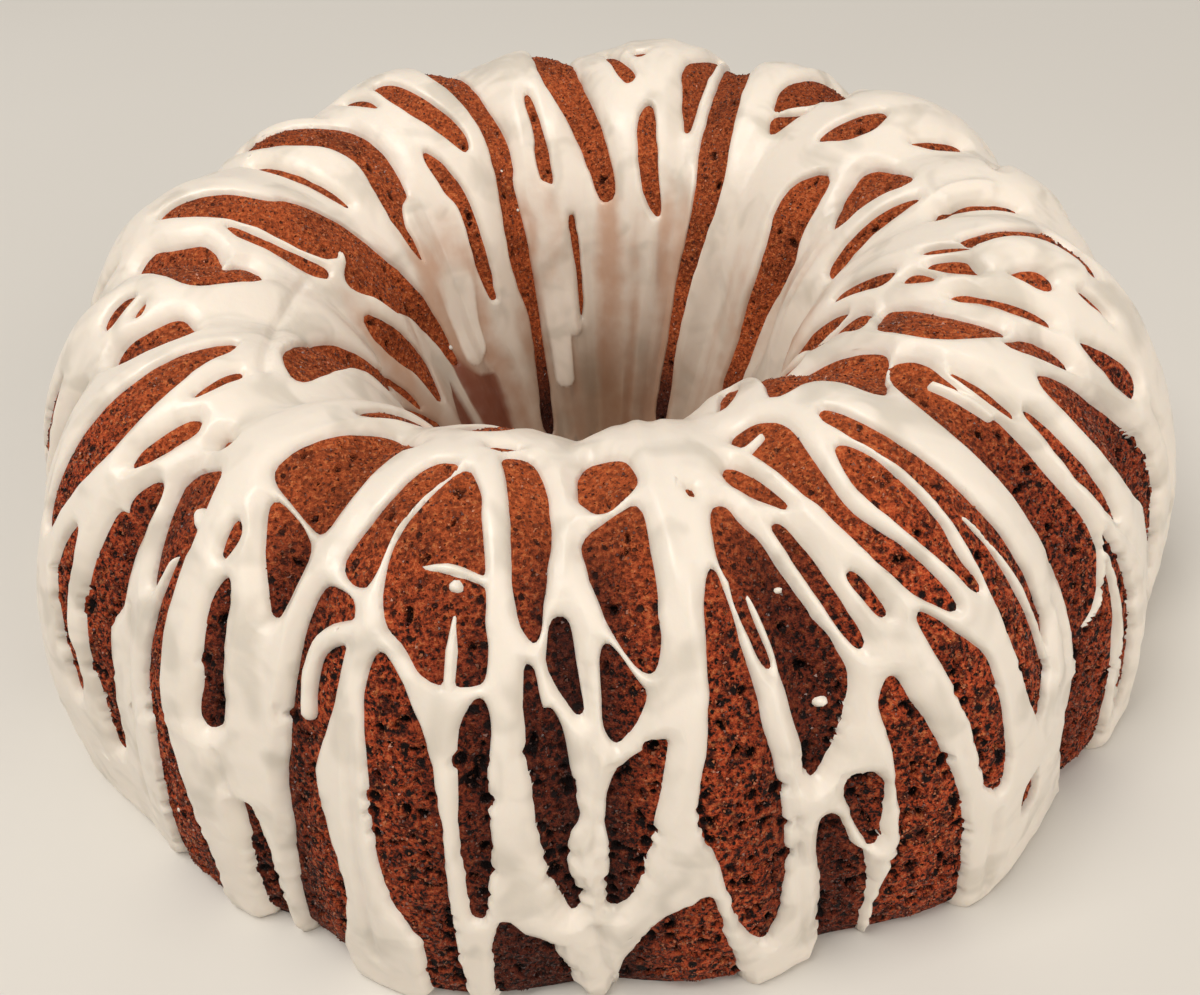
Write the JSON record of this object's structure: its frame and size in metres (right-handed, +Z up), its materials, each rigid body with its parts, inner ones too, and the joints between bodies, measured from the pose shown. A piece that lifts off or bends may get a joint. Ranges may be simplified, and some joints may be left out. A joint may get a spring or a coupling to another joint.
{
  "type": "fluted ring cake",
  "caption": "Whole fluted ring cake with broad and narrow ridges, a rounded top, a tapered centre hole and a flat base, drizzled with white icing.",
  "frame": {"origin": "centre of the flat base, on the surface the cake stands on", "axes": "+Z up through the centre hole; -Y is the front of the cake; +X is to the right seen from the front"},
  "size_m": [0.2539, 0.2537, 0.0847],
  "materials": {
    "crumb": "baked brown cake crust with fine open pores",
    "icing": "set sugar icing, cream white, satin"
  },
  "bodies": {
    "root": {"cake": "crumb"}
  },
  "joints": []
}
